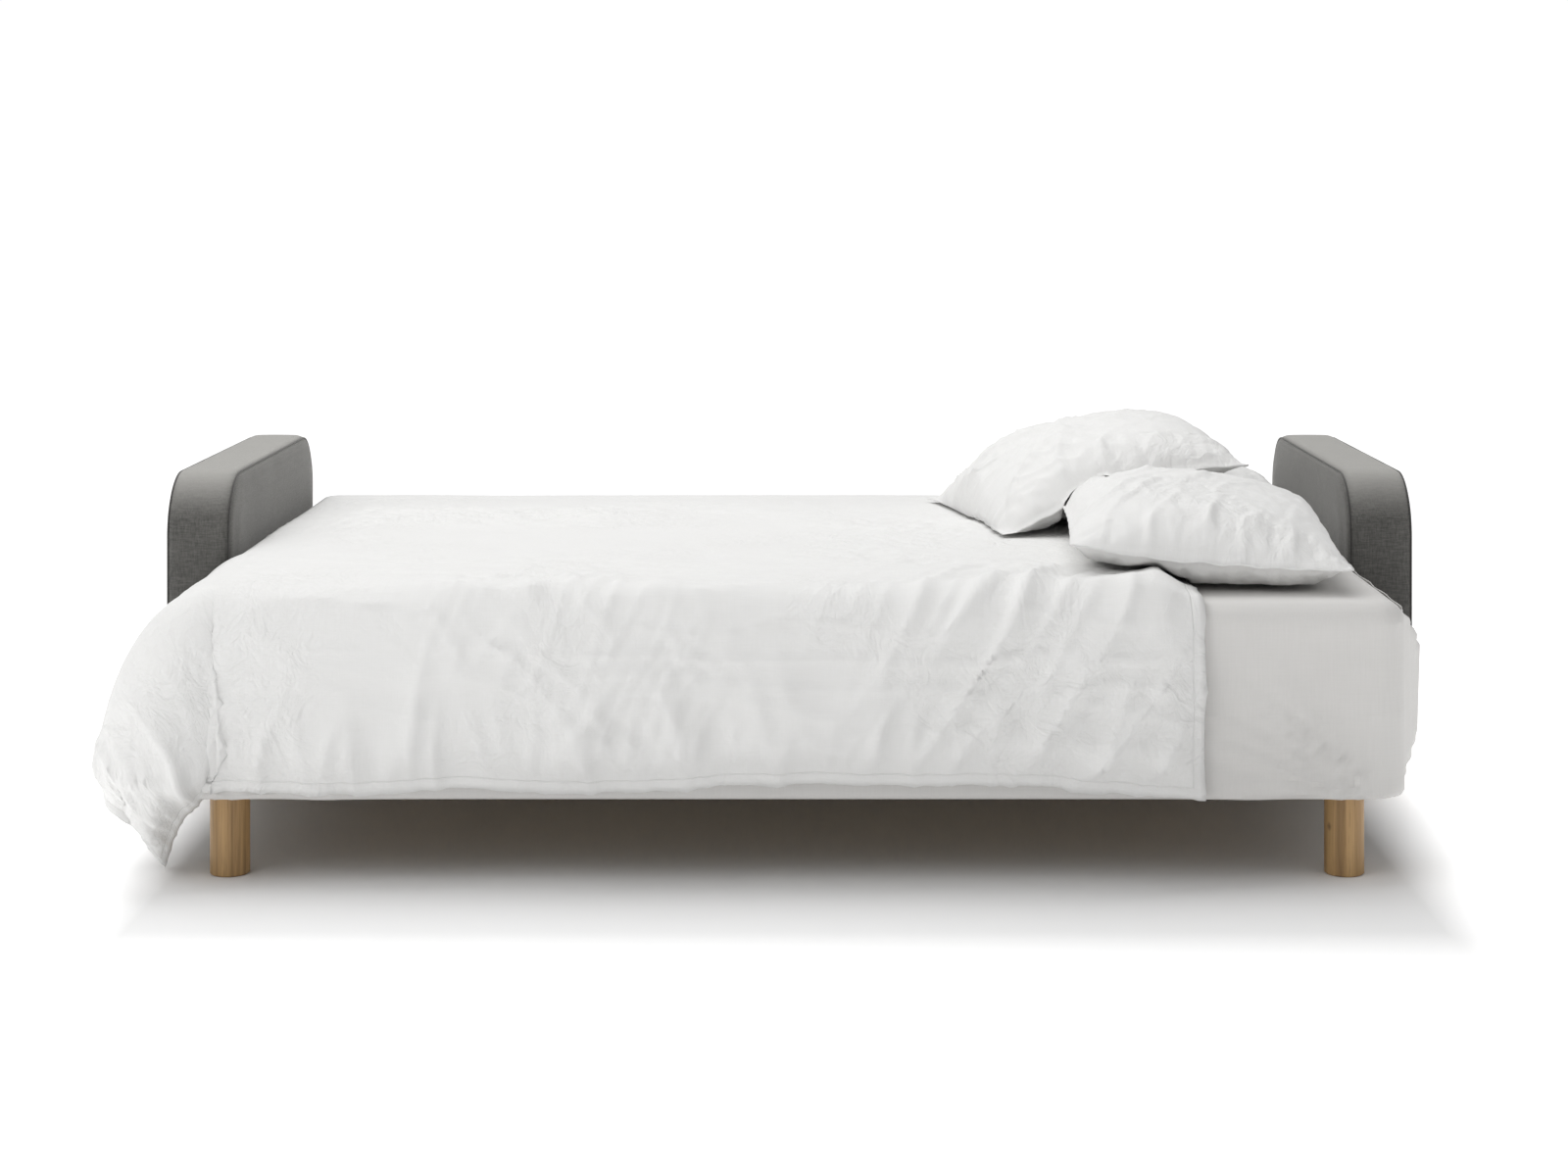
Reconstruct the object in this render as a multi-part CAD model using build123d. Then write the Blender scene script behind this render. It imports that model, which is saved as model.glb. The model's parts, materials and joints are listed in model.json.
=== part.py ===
from build123d import *
import math
import os

# A three-seat sofa bed, opened flat and made up as a bed. Millimetres, +X to the sleeper's
# head, -Y to the open front, +Z up. Everything is drawn about the middle of the sleeping
# surface, and moved at the end so that the origin is under the middle of the whole object.

# --- driving dimensions ---
bed_half_length = 990.0        # half of the mattress along X
front_y, rear_y = -700.0, 700.0   # the sleeping surface, front to rear
top_z = 450.0                  # top of both cushions
split_y = 80.0                 # rear face of the seat
split_gap = 13.0               # room that the back needs to swing
arm_inner_x, arm_thick = 1015.0, 120.0
arm_front_y, arm_bottom_z, arm_top_z = -147.0, 135.0, 604.0
arm_corner_r, arm_edge_r = 110.0, 14.0
back_thick = 180.0
travel = 553.0                 # how far the seat slides in to make the sofa
pivot_behind, pivot_below = 120.0, 50.0   # back pivot, from the back's lower top edge
leg_r = 32.5

# --- worked out from them ---
arm_outer_x = arm_inner_x + arm_thick
arm_mid_x = arm_inner_x + arm_thick / 2
back_y = split_y + split_gap
back_bottom_z = top_z - back_thick
pivot_y, pivot_z = back_y + pivot_behind, top_z - pivot_below

# --- boards, tubes and plates ---
board = 22.0
frame_x = bed_half_length - 5          # outside of the seat's side boards
frame_z0, frame_z1 = 142.0, 248.0
slat_thick, slat_wide, slat_count = 10.0, 60.0, 15
cover_thick = 4.0
tube = 40.0
rail_x, rail_wide, rail_high = 800.0, 30.0, 20.0
front_tube_y, rear_tube_y = 20.0, 580.0
front_leg_x, front_leg_y = 915.0, -622.0
plate = 4.0
seat_plate_x = bed_half_length + 0.5   # inner face of the hinge plate on the seat
back_plate_x = seat_plate_x + plate + 0.5
pin_r = 6.0

# --- bedding ---
cloth = 2.0
sheet_x, sheet_y, sheet_z = 1003.5, 701.0, 450.5   # inside of the fitted sheet
sheet_hem_z, tucked_hem_z = 137.0, 272.0
quilt = 25.0                            # duvet thickness on top of the bed
fall_thick = 33.0                       # duvet thickness where it hangs
duvet_head_x, duvet_foot_x = 655.0, -1138.0
duvet_front_y, duvet_rear_y = -742.0, 698.0
duvet_hem_z = 176.0
duvet_bottom_z = sheet_z + cloth + 0.5

solids = {}


def block(x0, x1, y0, y1, z0, z1):
    """A box between two corners."""
    size = Box(x1 - x0, y1 - y0, z1 - z0)
    return Pos((x0 + x1) / 2, (y0 + y1) / 2, (z0 + z1) / 2) * size


def rod(radius, start, end):
    """A round bar between two points."""
    start, end = Vector(*start), Vector(*end)
    way = end - start
    return Solid.make_cylinder(radius, way.length, Plane(start, z_dir=way))


def yz_plate(points, x0, x1, corner=0.0):
    """A plate whose outline is drawn in the YZ plane, from x0 to x1."""
    outline = make_face(Polyline(*[(0, y, z) for y, z in points], close=True))
    if corner:
        outline = fillet(outline.vertices(), corner)
    return Pos(x0, 0, 0) * extrude(outline, x1 - x0, dir=(1, 0, 0))


def both_sides(name, right):
    """Stores a right-hand piece and its mirror image on the left."""
    solids[name + "_right"] = right
    solids[name + "_left"] = mirror(right, Plane.YZ)


def rounded_ends(bar, end):
    """Rounds the two upright corners at the front or the rear of a long board."""
    upright = bar.edges().filter_by(Axis.Z).group_by(Axis.Y)
    return fillet(upright[0] if end == "front" else upright[-1], 21)


def mirrored_pair(right):
    """Both hands of one small piece, as separate solids of one node."""
    return Compound(children=[*right.solids(), *mirror(right, Plane.YZ).solids()])


# ---------------------------------------------------------------- the arms and fixed base
def arm():
    y0, y1, z0, z1 = arm_front_y, rear_y, arm_bottom_z, arm_top_z
    outline = make_face(Polyline((0, y0, z0), (0, y1, z0), (0, y1, z1), (0, y0, z1), close=True))
    outline = fillet(outline.vertices().sort_by(Axis.Z)[-2:], arm_corner_r)
    body = Pos(arm_inner_x, 0, 0) * extrude(outline, arm_thick, dir=(1, 0, 0))
    rims = body.faces().filter_by(Axis.X).edges().filter_by(lambda e: e.center().Z > z0 + 1)
    body = fillet(rims, arm_edge_r)

    # the wooden frame and its filling stand in a pocket that opens downwards
    post = 40.0
    inset = 22.0
    pocket_top = z1 - 64
    x0, x1 = arm_mid_x - 35, arm_mid_x + 35
    py0, py1 = y0 + inset, y1 - inset
    both_sides("arm_cover", body - block(x0, x1, py0, py1, z0 - 1, pocket_top))
    both_sides("arm_bottom_rail", block(x0, x1, py0, py1, z0, z0 + post))
    front_post = block(x0, x1, py0, py0 + post, z0 + post, pocket_top - post)
    rear_post = block(x0, x1, py1 - post, py1, z0 + post, pocket_top - post)
    both_sides("arm_posts", Compound(children=[front_post.solid(), rear_post.solid()]))
    both_sides("arm_filling", block(x0, x1, py0 + post, py1 - post, z0 + post, pocket_top - post))
    both_sides("arm_top_rail", block(x0, x1, py0, py1, pocket_top - post, pocket_top))


def base_frame():
    z1 = arm_bottom_z
    z0 = z1 - tube
    reach = arm_outer_x - 30
    bolts = Compound(children=[])
    for name, y in (("front_cross_tube", front_tube_y), ("rear_cross_tube", rear_tube_y)):
        outer = block(-reach, reach, y - tube / 2, y + tube / 2, z0, z1)
        inner = block(-reach - 1, reach + 1, y - tube / 2 + 3, y + tube / 2 - 3, z0 + 3, z1 - 3)
        walls = outer - inner
        for sign in (-1, 1):
            x = sign * (arm_mid_x - 26)
            bolt = rod(4, (x, y, z0 - 0.5), (x, y, z1 + 35)) + rod(8, (x, y, z0 - 6), (x, y, z0))
            bolts = Compound(children=[*bolts.solids(), *bolt.solids()])
            walls -= rod(4.3, (x, y, z0 - 1), (x, y, z1 + 1))
        solids[name] = walls
    solids["arm_bolts"] = bolts
    for side in ("left", "right"):
        rail_hole = [rod(4.3, (b.center().X, b.center().Y, z1 - 1), (b.center().X, b.center().Y, z1 + 36))
                     for b in bolts.solids()]
        solids["arm_bottom_rail_" + side] -= rail_hole

    rail = block(rail_x - rail_wide / 2, rail_x + rail_wide / 2, -30, 640, z1, z1 + rail_high)
    both_sides("slide_rail", rail)

    # oak legs under the rear of the arms, black feet under their front
    foot = Pos(arm_mid_x + 15, rear_tube_y, 0) * Cylinder(leg_r, z0, align=(Align.CENTER, Align.CENTER, Align.MIN))
    both_sides("rear_leg", chamfer(foot.edges().group_by(Axis.Z)[0], 2))
    foot = Pos(arm_mid_x + 15, front_tube_y, 0) * Cone(16, 21, z0, align=(Align.CENTER, Align.CENTER, Align.MIN))
    both_sides("front_foot", foot)

    # ledges on the arms carry the far end of the back when it lies flat
    ledge = yz_plate([(625, 263.5), (680, 263.5), (680, 240), (652, 222), (625, 240)], arm_inner_x - 7.5, arm_inner_x)
    both_sides("arm_ledge", ledge)


# ---------------------------------------------------------------- the sliding seat
def cushion(y0, y1, z0, corners):
    """A foam cushion with a soft top edge. corners says which end has rounded upright corners."""
    pad = block(-bed_half_length, bed_half_length, y0, y1, z0, top_z)
    upright = pad.edges().filter_by(Axis.Z).group_by(Axis.Y)
    pad = fillet(upright[0] if corners == "front" else upright[-1], 47)
    return fillet(pad.faces().sort_by(Axis.Z)[-1].edges(), 28)


def seat():
    rear = split_y
    y_in, y_out = front_y + 5 + board, rear - board
    solids["seat_front_board"] = rounded_ends(block(-frame_x, frame_x, front_y + 5, y_in, frame_z0, frame_z1), "front")
    solids["seat_rear_board"] = block(-frame_x, frame_x, y_out, rear, frame_z0 + 26, frame_z1)
    side_board = block(frame_x - board, frame_x, y_in, y_out, frame_z0, frame_z1)
    runner = block(rail_x - 15, rail_x + 15, y_in, y_out, frame_z0 + 26, frame_z0 + 66)
    both_sides("seat_runner", runner)

    pitch = 2 * (frame_x - 60) / (slat_count - 1)
    slats = [block(x - slat_wide / 2, x + slat_wide / 2, front_y + 10, rear - 5, frame_z1, frame_z1 + slat_thick)
             for x in (-frame_x + 60 + pitch * i for i in range(slat_count))]
    solids["seat_slats"] = Compound(children=[s.solid() for s in slats])
    solids["seat_cushion"] = cushion(front_y + 1, rear, frame_z1 + slat_thick + 1, "front")

    x1 = bed_half_length
    wrap = block(-x1, x1, front_y + 1, rear, frame_z0 - 1, frame_z1 + slat_thick)
    wrap = fillet(wrap.edges().filter_by(Axis.Z).group_by(Axis.Y)[0], 26)
    inside = block(-frame_x - 0.5, frame_x + 0.5, front_y + 1 + cover_thick, rear + 1, 0, 400)
    inside = fillet(inside.edges().filter_by(Axis.Z).group_by(Axis.Y)[0], 20.5)
    border = wrap - inside

    # nylon shoes straddle the rails
    z_rail = arm_bottom_z + rail_high
    shoe = block(rail_x - 21, rail_x + 21, -25, 75, z_rail - 12, frame_z0 + 26)
    gap = rail_wide / 2 + 0.5
    shoe -= block(rail_x - gap, rail_x + gap, -30, 80, z_rail - 20, z_rail + 0.3)
    solids["glide_shoes"] = mirrored_pair(shoe)

    # front legs, each on a steel plate under a corner block
    leg_top = frame_z0 - 2
    leg = Pos(front_leg_x, front_leg_y, 0) * Cylinder(leg_r, leg_top, align=(Align.CENTER, Align.CENTER, Align.MIN))
    stud = rod(5, (front_leg_x, front_leg_y, leg_top - 30), (front_leg_x, front_leg_y, frame_z0 + 30))
    pocket = rod(5.2, (front_leg_x, front_leg_y, leg_top - 31), (front_leg_x, front_leg_y, frame_z0 + 31))
    both_sides("front_leg", chamfer(leg.edges().group_by(Axis.Z)[0], 2) - pocket)
    both_sides("leg_block", block(870, 960, y_in, y_in + 100, frame_z0, frame_z0 + 58) - pocket)
    leg_plate = block(front_leg_x - 40, front_leg_x + 40, front_leg_y - 40, front_leg_y + 40, leg_top, frame_z0)
    solids["leg_plates"] = mirrored_pair(leg_plate - pocket)
    solids["leg_studs"] = mirrored_pair(stud)

    # hinge plates run rearwards from the side boards and then up to the back's pivot
    x0 = seat_plate_x
    hinge = yz_plate([(-60, 165), (60, 165), (pivot_y + 5, 236), (pivot_y + 24, 290), (pivot_y + 22, pivot_z + 22),
                      (pivot_y - 22, pivot_z + 22), (pivot_y - 22, 300), (pivot_y - 52, 266), (60, 245), (-60, 245)],
                     x0, x0 + plate, 9)
    bolts, holes = [], []
    for y, z in ((-45, 205), (0, 205), (45, 205)):
        bolts += [rod(4, (frame_x - 12, y, z), (x0 + plate, y, z)) + rod(7, (x0 + plate, y, z), (x0 + plate + 4, y, z))]
        holes += [rod(4.3, (frame_x - 13, y, z), (x0 + plate + 1, y, z))]
    both_sides("seat_side_board", side_board - holes)
    solids["seat_border"] = border - holes - [mirror(h, Plane.YZ) for h in holes]
    shaft_hole = rod(pin_r + 0.02, (x0 - 1, pivot_y, pivot_z), (x0 + 9, pivot_y, pivot_z))
    both_sides("seat_hinge_plate", hinge - holes - shaft_hole)
    solids["seat_hinge_bolts"] = mirrored_pair(Compound(children=[b.solid() for b in bolts]))
    pin = rod(pin_r, (x0, pivot_y, pivot_z), (x0 + 9, pivot_y, pivot_z))
    pin += rod(11, (x0 + 8.9, pivot_y, pivot_z), (x0 + 12, pivot_y, pivot_z))
    both_sides("pivot_pin", pin)


# ---------------------------------------------------------------- the folding back
def back():
    z0, z1 = back_bottom_z, back_bottom_z + 35
    far = rear_y - 5
    near = back_y + 4
    rail_w = 35.0
    solids["back_lower_rail"] = block(-frame_x, frame_x, near, near + rail_w, z0, z1)
    solids["back_upper_rail"] = rounded_ends(block(-frame_x, frame_x, far - rail_w, far, z0, z1), "rear")
    side_rail = block(frame_x - rail_w, frame_x, near + rail_w, far - rail_w, z0, z1)

    pitch = 2 * (frame_x - 60) / (slat_count - 1)
    slats = [block(x - slat_wide / 2, x + slat_wide / 2, near + 5, far - 5, z1, z1 + slat_thick)
             for x in (-frame_x + 60 + pitch * i for i in range(slat_count))]
    solids["back_slats"] = Compound(children=[s.solid() for s in slats])
    solids["back_cushion"] = cushion(back_y, rear_y - 1, z1 + slat_thick + 1, "rear")
    inner_x = frame_x - rail_w - 5
    solids["back_lining"] = block(-inner_x, inner_x, near + 6, far - 6, z0 - cover_thick, z0)

    x0, x1 = back_plate_x, back_plate_x + plate
    hinge = yz_plate([(pivot_y - 20, pivot_z - 18), (pivot_y + 10, z0 + 2), (340, z0 + 2), (340, z1 - 2), (300, z1 + 10),
                      (pivot_y + 24, pivot_z + 16), (pivot_y - 18, pivot_z + 22)], x0, x1, 9)
    hinge += block(frame_x, x0 + 1, 245, 335, z0 + 4, z1 - 4)
    hinge -= rod(pin_r + 0.05, (x0 - 1, pivot_y, pivot_z), (x1 + 1, pivot_y, pivot_z))
    bolts, holes = [], []
    for y in (265, 315):
        z = z0 + 17
        bolts += [rod(4, (frame_x - 15, y, z), (x1, y, z)) + rod(7, (x1, y, z), (x1 + 3, y, z))]
        holes += [rod(4.3, (frame_x - 16, y, z), (x1 + 1, y, z))]
    both_sides("back_side_rail", side_rail - holes)
    both_sides("back_hinge_plate", hinge - holes)
    solids["back_hinge_bolts"] = mirrored_pair(Compound(children=[b.solid() for b in bolts]))
    solids["rest_lugs"] = mirrored_pair(block(frame_x - 30, arm_inner_x - 2, 640, 665, z0 - 6, z0))


# ---------------------------------------------------------------- the bedding
def sheet():
    def envelope(grow):
        x, y = sheet_x + grow, sheet_y + grow
        body = block(-x, x, -y, y, 0, sheet_z + grow)
        body = fillet(body.edges().filter_by(Axis.Z), 46 + grow)
        return fillet(body.faces().sort_by(Axis.Z)[-1].edges(), 30 + grow)

    shell = envelope(cloth) - envelope(0)
    wide = sheet_x + 50
    shell -= block(-wide, wide, front_y - 50, rear_y + 50, -5, sheet_hem_z)
    shell -= block(-wide, wide, arm_front_y - 3, rear_y + 50, 0, tucked_hem_z)
    # the sheet is cut at the joint, and each half stays on its own cushion
    solids["sheet_on_seat"] = shell & block(-wide, wide, front_y - 50, split_y, 0, 500)
    solids["sheet_on_back"] = shell & block(-wide, wide, back_y, rear_y + 50, 0, 500)

    # where the sheet can't pass the right arm it is stretched across the arm's front
    out = arm_outer_x + 1
    front = arm_front_y - 3
    wall = [(sheet_x + cloth + 0.2, -480), (out - 2, front - 6), (out + cloth, front - 2), (out + cloth, -90),
            (out, -90), (out, front), (out - 3.5, front - 3), (sheet_x + cloth + 0.2, -475)]
    flap = extrude(make_face(Polyline(*[(x, y, sheet_hem_z) for x, y in wall], close=True)), 263, dir=(0, 0, 1))
    slope = Polyline((1000, -500, 400), (1150, -500, 282), (1150, -500, 500), (1000, -500, 500), close=True)
    solids["sheet_arm_flap"] = flap - extrude(make_face(slope), 450, dir=(0, 1, 0))


def duvet():
    z0, z1 = duvet_bottom_z, duvet_bottom_z + quilt
    foot, head, front, rear = duvet_foot_x, duvet_head_x, duvet_front_y, duvet_rear_y

    def corner_of(body, radius):
        """Rounds the upright corner between the front fall and the foot fall."""
        upright = body.edges().filter_by(Axis.Z).sort_by(lambda e: e.center().X + e.center().Y)
        return fillet(upright[0], radius)

    outer = corner_of(block(foot, head, front, rear, duvet_hem_z, z1), 90)
    rims = outer.faces().sort_by(Axis.Z)[-1].edges()
    rims = rims.filter_by(lambda e: abs(e.center().Y - rear) > 5 and abs(e.center().X - head) > 5)
    outer = fillet(rims, 60)
    inner = corner_of(block(foot + fall_thick, head + 10, front + fall_thick, rear + 10, 0, z0), 57)
    body = outer - inner
    body -= block(foot - 10, -arm_inner_x + 3, arm_front_y - 4, rear + 10, 0, 700)
    tip = [(foot + 8, duvet_hem_z + 1), (foot + 153, duvet_hem_z + 1), (foot + 88, 12)]
    corner = extrude(make_face(Polyline(*[(x, front + 1, z) for x, z in tip], close=True)), 31, dir=(0, 1, 0))
    solids["duvet"] = body + corner


def pillow(length, half_thick, grow=0.0):
    """A pillow centred on the origin, 500 across, thick in the middle and thin at its rim."""
    half_x, half_y, half_thick, rim = 250.0 + grow, length / 2 + grow, half_thick + grow, 12.0 + grow
    body = block(-half_x, half_x, -half_y, half_y, -half_thick, half_thick)
    body = fillet(body.edges().filter_by(Axis.Z), 30)
    rise = half_thick - rim
    for half, turn in ((half_x, Rotation(90, 0, 0)), (half_y, Rotation(0, 90, 0))):
        radius = (half**2 + rise**2) / (2 * rise)
        round_bar = turn * Cylinder(radius, 2000)
        body = body & (Pos(0, 0, half_thick - radius) * round_bar)
        body = body & (Pos(0, 0, radius - half_thick) * round_bar)
    return body


def pillows():
    leaning = Pos(602, 190, 582) * Rotation(0, -15, 0) * Rotation(3, 0, 12)
    solids["pillow_top"] = leaning * pillow(630, 72)
    # the two that lie flat are pressed in where the third leans on them
    pressed = leaning * pillow(630, 72, 2)
    solids["pillow_front"] = Pos(722, -298, 537.5) * Rotation(0, 5.5, 0) * pillow(640, 68) - pressed
    solids["pillow_back"] = Pos(737, 372, 527.5) * Rotation(0, 5.5, 0) * pillow(620, 60) - pressed


arm()
base_frame()
seat()
back()
sheet()
duvet()
pillows()
os.makedirs("parts", exist_ok=True)
middle_y = (duvet_front_y + sheet_y + cloth) / 2
for name, shape in solids.items():
    moved = [Pos(0, -middle_y, 0) * solid for solid in shape.solids()]
    export_step(moved[0] if len(moved) == 1 else Compound(children=moved), f"parts/{name}.step")
print(len(solids), "nodes")
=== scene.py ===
import json
import math

import bmesh
import bpy
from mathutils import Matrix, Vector, noise
from mathutils.bvhtree import BVHTree


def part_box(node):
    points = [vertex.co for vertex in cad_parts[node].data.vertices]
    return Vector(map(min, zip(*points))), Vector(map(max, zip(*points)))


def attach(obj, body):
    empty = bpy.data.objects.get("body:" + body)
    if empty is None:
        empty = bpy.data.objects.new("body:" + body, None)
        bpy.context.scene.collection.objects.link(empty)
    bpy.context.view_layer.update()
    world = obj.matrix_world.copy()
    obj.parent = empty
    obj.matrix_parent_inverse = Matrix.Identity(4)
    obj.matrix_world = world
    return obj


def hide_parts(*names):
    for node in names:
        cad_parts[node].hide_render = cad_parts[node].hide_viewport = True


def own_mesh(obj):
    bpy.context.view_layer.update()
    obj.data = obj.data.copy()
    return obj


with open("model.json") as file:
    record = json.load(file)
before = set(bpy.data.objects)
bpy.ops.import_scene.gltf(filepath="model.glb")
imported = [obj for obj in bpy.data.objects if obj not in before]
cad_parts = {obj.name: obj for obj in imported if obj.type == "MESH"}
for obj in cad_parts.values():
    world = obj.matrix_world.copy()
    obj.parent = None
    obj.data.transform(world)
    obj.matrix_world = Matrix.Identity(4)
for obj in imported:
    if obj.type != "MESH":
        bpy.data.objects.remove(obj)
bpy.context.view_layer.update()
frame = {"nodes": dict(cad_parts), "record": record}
scene = bpy.context.scene

studio = {
    "lens": 63.0,
    "cameraPlace": (0.04, -5.11, 1.16),
    "shift": (-0.0175, -0.269),
    "fillStrength": 0.4,      # light from the white room; the camera sees the room itself brighter than this
    "keyPower": 60.0,
    "topPower": 88.0,
}


# small tools for modelling by hand

def deselectAll():
    if bpy.context.mode != "OBJECT":
        bpy.ops.object.mode_set(mode="OBJECT")
    bpy.ops.object.select_all(action="DESELECT")


def makeActive(obj):
    deselectAll()
    obj.select_set(True)
    bpy.context.view_layer.objects.active = obj


def startEdit(obj, mode="FACE"):
    makeActive(obj)
    bpy.ops.object.mode_set(mode="EDIT")
    bpy.ops.mesh.select_mode(type=mode)
    bpy.ops.mesh.select_all(action="DESELECT")


def endEdit():
    bpy.ops.object.mode_set(mode="OBJECT")


def pickFaces(obj, test):
    bpy.ops.mesh.select_mode(type="FACE")
    bpy.ops.mesh.select_all(action="DESELECT")
    mesh = bmesh.from_edit_mesh(obj.data)
    for face in mesh.faces:
        if test(face.calc_center_median(), face.normal):
            face.select_set(True)
    bmesh.update_edit_mesh(obj.data)


def pickEdges(obj, test):
    bpy.ops.mesh.select_mode(type="EDGE")
    bpy.ops.mesh.select_all(action="DESELECT")
    mesh = bmesh.from_edit_mesh(obj.data)
    for edge in mesh.edges:
        if test(edge.verts[0].co, edge.verts[1].co, edge):
            edge.select_set(True)
    bmesh.update_edit_mesh(obj.data)


def useModifier(obj, kind, **settings):
    makeActive(obj)
    modifier = obj.modifiers.new(kind.title(), kind)
    for key, value in settings.items():
        setattr(modifier, key, value)
    bpy.ops.object.modifier_apply(modifier=modifier.name)


def freeze(obj, name):
    makeActive(obj)
    bpy.ops.object.transform_apply(location=True, rotation=True, scale=True)
    obj.name = name
    obj.data.name = name
    return obj


def addBlock(name, low, high):
    deselectAll()
    centre = [(a + b) / 2 for a, b in zip(low, high)]
    bpy.ops.mesh.primitive_cube_add(size=1, location=centre, scale=[b - a for a, b in zip(low, high)])
    return freeze(bpy.context.active_object, name)


def addGrid(name, columns, rows, width, length, centre=(0, 0, 0)):
    deselectAll()
    bpy.ops.mesh.primitive_grid_add(x_subdivisions=columns, y_subdivisions=rows, size=1, location=centre)
    grid = bpy.context.active_object
    grid.scale = (width, length, 1)
    return freeze(grid, name)


def smoothAll(obj, angle=None):
    makeActive(obj)
    if angle is None:
        bpy.ops.object.shade_smooth()
    else:
        bpy.ops.object.shade_smooth_by_angle(angle=math.radians(angle))


def faceOut(obj):
    startEdit(obj)
    bpy.ops.mesh.select_all(action="SELECT")
    bpy.ops.mesh.normals_make_consistent(inside=False)
    endEdit()


def ramp(value, low, high):
    t = min(1.0, max(0.0, (value - low) / (high - low)))
    return t * t * (3 - 2 * t)


def streak(along, across, seed, length, spacing, power=3.0):
    # soft creases that run along one way, drift a little and die out
    drift = 0.35 * noise.noise(Vector((along / length * 1.4, across / spacing * 0.3, seed + 5)))
    value = noise.noise(Vector((along / length, across / spacing + drift, seed)))
    return (1 - min(1.0, abs(value) * 2.4)) ** power


def ridged(x, y, z):
    return (1 - min(1.0, abs(noise.noise(Vector((x, y, z)))) * 2.2)) ** 2


def place(obj, body, material, slot, *nodes):
    obj.data.materials.clear()
    obj.data.materials.append(material)
    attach(obj, body)
    if nodes:
        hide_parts(*nodes)
    return obj


# materials

class Wire:
    # one socket of a node, so that shader maths reads as ordinary maths
    def __init__(self, tree, socket):
        self.tree = tree
        self.socket = socket

    def maths(self, operation, *values):
        node = self.tree.nodes.new("ShaderNodeMath")
        node.operation = operation
        for i, value in enumerate(values):
            link(self.tree, value, node.inputs[i])
        return Wire(self.tree, node.outputs[0])

    def __add__(self, other):
        return self.maths("ADD", self, other)

    def __radd__(self, other):
        return self.maths("ADD", other, self)

    def __sub__(self, other):
        return self.maths("SUBTRACT", self, other)

    def __rsub__(self, other):
        return self.maths("SUBTRACT", other, self)

    def __mul__(self, other):
        return self.maths("MULTIPLY", self, other)

    def __rmul__(self, other):
        return self.maths("MULTIPLY", other, self)

    def __truediv__(self, other):
        return self.maths("DIVIDE", self, other)

    def __pow__(self, other):
        return self.maths("POWER", self, other)

    def sine(self):
        return self.maths("SINE", self)

    def absolute(self):
        return self.maths("ABSOLUTE", self)

    def floor(self):
        return self.maths("FLOOR", self)

    def least(self, other):
        return self.maths("MINIMUM", self, other)

    def clamp(self, low, high):
        return self.maths("MINIMUM", self.maths("MAXIMUM", self, low), high)


def link(tree, value, socket):
    if isinstance(value, Wire):
        tree.links.new(value.socket, socket)
    else:
        socket.default_value = value


class Finish:
    # a material under construction
    def __init__(self, name, roughness=0.8, **constants):
        self.material = bpy.data.materials.new(name)
        self.material.use_nodes = True
        self.tree = self.material.node_tree
        self.shader = self.tree.nodes["Principled BSDF"]
        self.shader.inputs["Roughness"].default_value = roughness
        for key, value in constants.items():
            self.shader.inputs[key.replace("_", " ")].default_value = value

    def node(self, kind, settings, inputs, out=0):
        node = self.tree.nodes.new(kind)
        for key, value in settings.items():
            if key == "stops":
                setStops(node.color_ramp, value)
            else:
                setattr(node, key, value)
        for key, value in inputs.items():
            link(self.tree, value, node.inputs[key])
        return Wire(self.tree, node.outputs[out])

    def place(self):
        return self.node("ShaderNodeTexCoord", {}, {}, "Object")

    def flat(self):
        return self.node("ShaderNodeUVMap", {"uv_map": "flat"}, {})

    def axes(self, vector):
        node = self.tree.nodes.new("ShaderNodeSeparateXYZ")
        link(self.tree, vector, node.inputs[0])
        return [Wire(self.tree, node.outputs[i]) for i in range(3)]

    def scaled(self, vector, x, y, z):
        return self.node("ShaderNodeMapping", {}, {"Vector": vector, "Scale": (x, y, z)})

    def noise(self, vector, scale, detail=3.0, roughness=0.5, distortion=0.0):
        return self.node("ShaderNodeTexNoise", {}, {"Vector": vector, "Scale": scale, "Detail": detail,
                         "Roughness": roughness, "Distortion": distortion})

    def mix(self, amount, first, second):
        return self.node("ShaderNodeMix", {"data_type": "RGBA"}, {0: amount, 6: first, 7: second}, 2)

    def bump(self, height, strength, distance, under=None):
        inputs = {"Height": height, "Strength": strength, "Distance": distance}
        if under:        # an earlier bump that this one adds to
            inputs["Normal"] = under
        return self.node("ShaderNodeBump", {}, inputs)

    def done(self, colour=None, normal=None, roughness=None):
        for value, name in ((colour, "Base Color"), (normal, "Normal"), (roughness, "Roughness")):
            if value is not None:
                link(self.tree, value, self.shader.inputs[name])
        return self.material


def setStops(colourRamp, stops):
    while len(colourRamp.elements) < len(stops):
        colourRamp.elements.new(0.5)
    for element, (position, colour) in zip(colourRamp.elements, stops):
        element.position = position
        element.color = (*colour, 1)


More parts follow.
